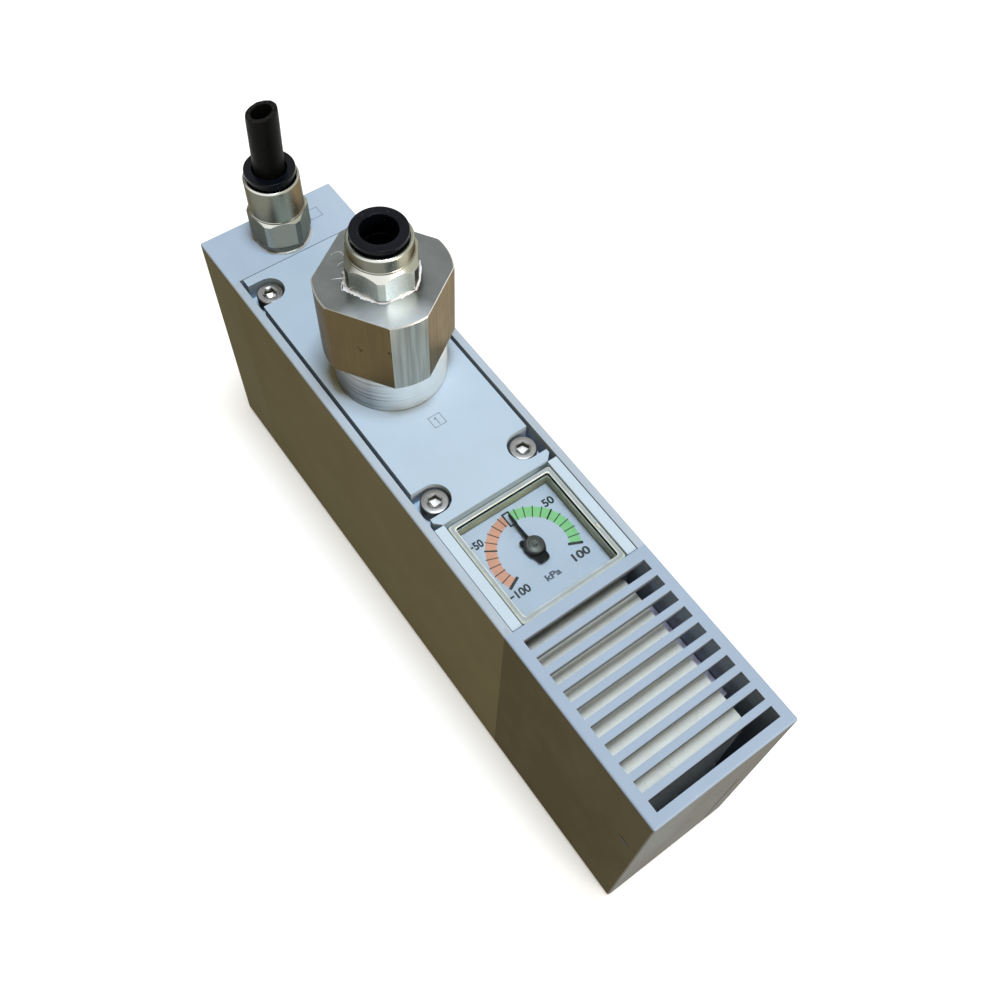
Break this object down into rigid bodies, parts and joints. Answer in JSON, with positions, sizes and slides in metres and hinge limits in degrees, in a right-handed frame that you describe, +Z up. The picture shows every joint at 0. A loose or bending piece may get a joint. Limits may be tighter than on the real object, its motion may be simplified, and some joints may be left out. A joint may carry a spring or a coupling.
{
  "type": "vacuum ejector",
  "caption": "Slim box-shaped vacuum ejector with a push-in air supply, a vacuum port on a turned adapter, a vacuum gauge and a slotted silencer.",
  "frame": {"origin": "middle of the underside, on the surface that it stands on", "axes": "+X along the body towards the silencer, +Y across its narrow width, +Z up through the ports"},
  "size_m": [0.1882, 0.04, 0.1257],
  "materials": {
    "housing_paint": "satin paint on extruded aluminium",
    "plate_paint": "satin paint on aluminium",
    "cap_plastic": "fine matt",
    "cover_plastic": "fine matt",
    "machined_aluminium": "turned and milled",
    "nickel": "nickel plate on brass",
    "screw_steel": "stainless",
    "black_plastic": "smooth",
    "black_tube": "smooth polyurethane",
    "black_rubber": "matt",
    "flap_rubber": "matt",
    "felt": "pressed felt",
    "filter_felt": "pressed fibre",
    "diffuser_plastic": "moulded",
    "brass": "machined",
    "clear_lens": "polished",
    "dial_paint": "printed",
    "pointer_paint": "matt black",
    "case_plastic": "moulded",
    "trim_plastic": "moulded"
  },
  "bodies": {
    "ejector": {"absorber_side_strip": "felt", "adapter_seal": "black_rubber", "cover_screws": "screw_steel", "diffuser_first": "diffuser_plastic", "diffuser_seal_first": "black_rubber", "diffuser_seal_second": "black_rubber", "diffuser_seal_third": "black_rubber", "diffuser_second": "diffuser_plastic", "diffuser_third": "diffuser_plastic", "drive_nozzle": "brass", "end_cap": "cap_plastic", "end_cap_screws": "screw_steel", "end_cap_seal": "black_rubber", "gauge_case": "case_plastic", "gauge_dial": "dial_paint", "gauge_lens": "clear_lens", "gauge_socket": "brass", "gauge_trim_left": "trim_plastic", "gauge_trim_right": "trim_plastic", "gauge_washer": "black_rubber", "housing": "housing_paint", "movement_base": "brass", "movement_top": "brass", "nozzle_seal": "black_rubber", "passage_plug": "brass", "plate_screws": "screw_steel", "plate_seal": "black_rubber", "port_adapter": "machined_aluminium", "port_plate": "plate_paint", "pressure_tube": "brass", "silencer_cover": "cover_plastic", "sound_absorber": "felt", "suction_filter": "filter_felt", "supply_collet": "screw_steel", "supply_fitting_body": "nickel", "supply_tube": "black_tube", "supply_tube_seal": "black_rubber", "supply_washer": "black_rubber", "vacuum_collet": "screw_steel", "vacuum_fitting_body": "nickel", "vacuum_tube_seal": "black_rubber"},
    "pointer_assembly": {"pointer": "pointer_paint", "pointer_arbor": "screw_steel"},
    "sector": {"sector_gear": "brass"},
    "link": {"gauge_link": "brass"},
    "vacuum_ring": {"vacuum_push_ring": "black_plastic"},
    "supply_ring": {"supply_push_ring": "black_plastic"},
    "second_flap": {"check_flap_second": "flap_rubber"},
    "third_flap": {"check_flap_third": "flap_rubber"}
  },
  "joints": [
    {"name": "pointer_turn", "type": "hinge", "parent": "ejector", "child": "pointer_assembly", "pos_m": [0.0282, 0, 0.074], "axis": [0, 0, 1], "range_deg": [-115.5, 115.5], "stiffness_Nm_per_rad": 0.00002},
    {"name": "sector_swing", "type": "hinge", "parent": "ejector", "child": "sector", "pos_m": [0.0282, -0.00762, 0.066], "axis": [0, 0, 1], "range_deg": [-15, 15]},
    {"name": "link_swing", "type": "hinge", "parent": "sector", "child": "link", "pos_m": [0.0282, -0.00962, 0.067], "axis": [0, 0, 1], "range_deg": [-15, 15]},
    {"name": "vacuum_ring_push", "type": "slide", "parent": "ejector", "child": "vacuum_ring", "axis": [0, 0, -1], "range_m": [0, 0.0008], "stiffness_N_per_m": 400, "springref_m": -0.0005},
    {"name": "supply_ring_push", "type": "slide", "parent": "ejector", "child": "supply_ring", "axis": [0, 0, -1], "range_m": [0, 0.0008], "stiffness_N_per_m": 400, "springref_m": -0.0005},
    {"name": "second_flap_swing", "type": "hinge", "parent": "ejector", "child": "second_flap", "pos_m": [-0.0458, 0, 0.0413], "axis": [0, 1, 0], "range_deg": [0, 18], "stiffness_Nm_per_rad": 0.0005, "springref_deg": -5.73},
    {"name": "third_flap_swing", "type": "hinge", "parent": "ejector", "child": "third_flap", "pos_m": [-0.0218, 0, 0.0413], "axis": [0, 1, 0], "range_deg": [0, 18], "stiffness_Nm_per_rad": 0.0005, "springref_deg": -5.73}
  ],
  "couplings": [
    {"joint": "sector_swing", "follows": "pointer_turn", "ratio": -0.125},
    {"joint": "link_swing", "follows": "pointer_turn", "ratio": 0.125}
  ]
}
